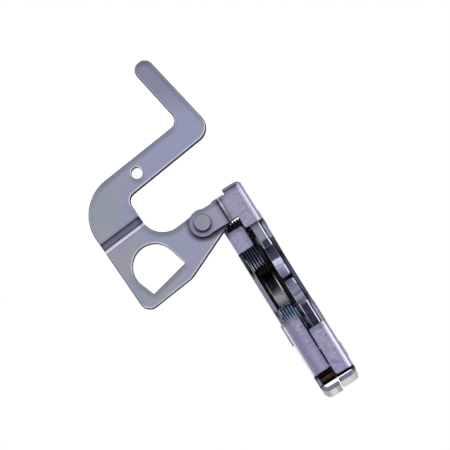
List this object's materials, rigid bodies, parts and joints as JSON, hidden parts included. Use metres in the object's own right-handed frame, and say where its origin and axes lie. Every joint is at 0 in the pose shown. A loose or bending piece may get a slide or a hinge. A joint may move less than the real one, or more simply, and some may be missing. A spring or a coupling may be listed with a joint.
{
  "type": "rotary door latch",
  "caption": "Two-claw rotary door latch in a folded steel case, with a stamped joggled release lever riveted to a tab of the case.",
  "frame": {"origin": "middle of the striker mouth's front edge, in the plane of the mounting face", "axes": "+X out of the mounting face, +Y from the mouth into the case, +Z along the case towards the lever"},
  "size_m": [0.0776, 0.066, 0.1913],
  "materials": {
    "zinc_sheet": "zinc plated, satin",
    "zinc_rivet": "zinc plated, satin",
    "rotor_steel": "zinc plated, blanked edges",
    "spring_steel": "oiled dark wire",
    "bush_steel": "turned",
    "spool_plastic": "moulded black",
    "bronze_tube": "dull bronze"
  },
  "bodies": {
    "case": {"back_plate": "zinc_sheet", "cover_plate": "zinc_sheet", "lever_rivet": "zinc_rivet", "lever_washer": "zinc_rivet", "upper_pivot_bush": "bush_steel", "lower_pivot_bush": "bush_steel", "upper_pivot_rivet": "zinc_rivet", "lower_pivot_rivet": "zinc_rivet", "upper_spring_spool": "spool_plastic", "lower_spring_spool": "spool_plastic", "upper_rotor_spring": "spring_steel", "lower_rotor_spring": "spring_steel", "pawl_bush": "bush_steel", "pawl_rivet": "zinc_rivet", "pawl_spring": "spring_steel", "front_spacer": "bronze_tube", "front_spacer_rivet": "zinc_rivet", "rear_spacer": "bush_steel", "rear_spacer_rivet": "zinc_rivet"},
    "lever": {"release_lever": "zinc_sheet"},
    "pawl": {"pawl": "rotor_steel", "trip_arm": "zinc_sheet"},
    "upper_rotor": {"upper_rotor": "rotor_steel"},
    "lower_rotor": {"lower_rotor": "rotor_steel"}
  },
  "joints": [
    {"name": "lever_pivot", "type": "hinge", "parent": "case", "child": "lever", "pos_m": [-0.0267, 0.006, 0.0439], "axis": [0, 1, 0], "range_deg": [0, 16], "stiffness_Nm_per_rad": 0.3, "springref_deg": -20.05},
    {"name": "pawl_pivot", "type": "hinge", "parent": "case", "child": "pawl", "pos_m": [-0.01, 0.0524, 0.0355], "axis": [1, 0, 0], "range_deg": [0, 6.8]},
    {"name": "upper_rotor_pivot", "type": "hinge", "parent": "case", "child": "upper_rotor", "pos_m": [-0.005, 0.0264, 0.025], "axis": [1, 0, 0], "range_deg": [0, 45], "stiffness_Nm_per_rad": 0.1, "springref_deg": -28.65},
    {"name": "lower_rotor_pivot", "type": "hinge", "parent": "case", "child": "lower_rotor", "pos_m": [-0.005, 0.0264, -0.025], "axis": [-1, 0, 0], "range_deg": [0, 45], "stiffness_Nm_per_rad": 0.1, "springref_deg": -28.65}
  ],
  "couplings": [
    {"joint": "pawl_pivot", "follows": "lever_pivot", "ratio": 0.42}
  ]
}
